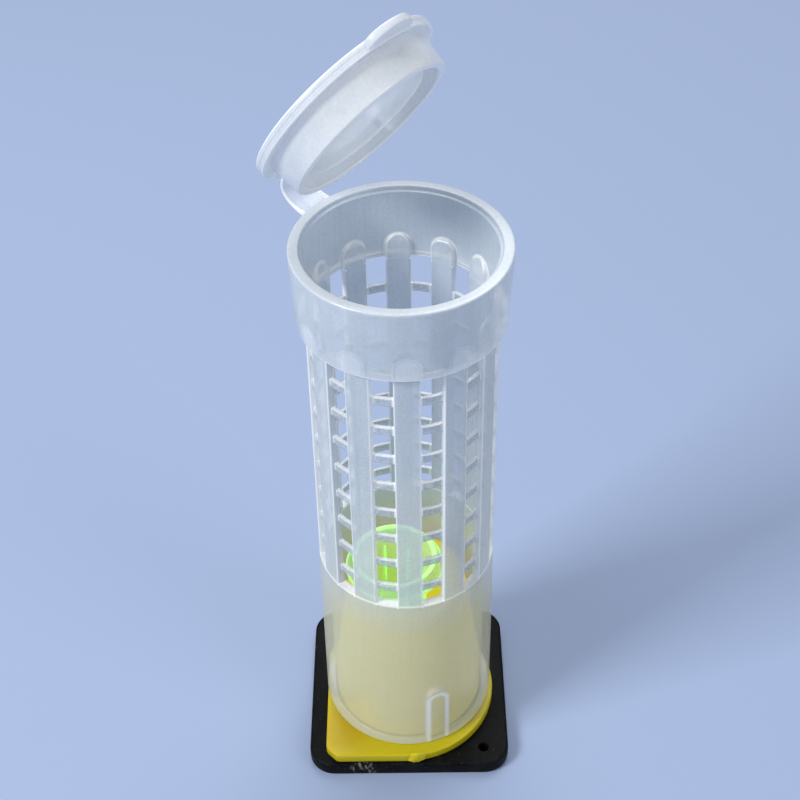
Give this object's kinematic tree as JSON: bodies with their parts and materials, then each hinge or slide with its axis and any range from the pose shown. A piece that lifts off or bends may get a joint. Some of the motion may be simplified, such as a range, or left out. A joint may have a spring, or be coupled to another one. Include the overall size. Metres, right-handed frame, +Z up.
{
  "type": "queen cage",
  "caption": "Barred roller cage with a strap-hinged plug lid, on a flanged cup holder with a cell cup and a square nailed base block.",
  "frame": {"origin": "centre of the base block's underside", "axes": "+Z up the cage's axis, X and Y along the sides of the square base block, the nail hole in view at +X -Y"},
  "size_m": [0.0281, 0.0281, 0.1051],
  "materials": {
    "block_plastic": "moulded black, lightly scuffed",
    "holder_plastic": "moulded lemon-mustard yellow",
    "cup_plastic": "clear fluorescent green",
    "cage_plastic": "frosted translucent polypropylene",
    "lid_plastic": "frosted translucent polypropylene, milkier"
  },
  "bodies": {
    "block": {"base_block": "block_plastic"},
    "holder": {"cup_holder": "holder_plastic"},
    "cup": {"cell_cup": "cup_plastic"},
    "cage": {"cage_body": "cage_plastic", "hinge_strap": "lid_plastic"},
    "lid": {"lid": "lid_plastic"}
  },
  "joints": [
    {"name": "holder_lift", "type": "slide", "parent": "block", "child": "holder", "axis": [0, 0, 1], "range_m": [0, 0.012]},
    {"name": "cage_lift", "type": "slide", "parent": "holder", "child": "cage", "axis": [0, 0, 1], "range_m": [0, 0.05]},
    {"name": "cup_lift", "type": "slide", "parent": "holder", "child": "cup", "axis": [0, 0, 1], "range_m": [0, 0.01]},
    {"name": "lid_hinge", "type": "hinge", "parent": "cage", "child": "lid", "pos_m": [-0.0127, 0.01073, 0.0799], "axis": [-0.6455, -0.7638, 0], "range_deg": [-57.6, 120], "deforming": ["hinge_strap"]}
  ]
}
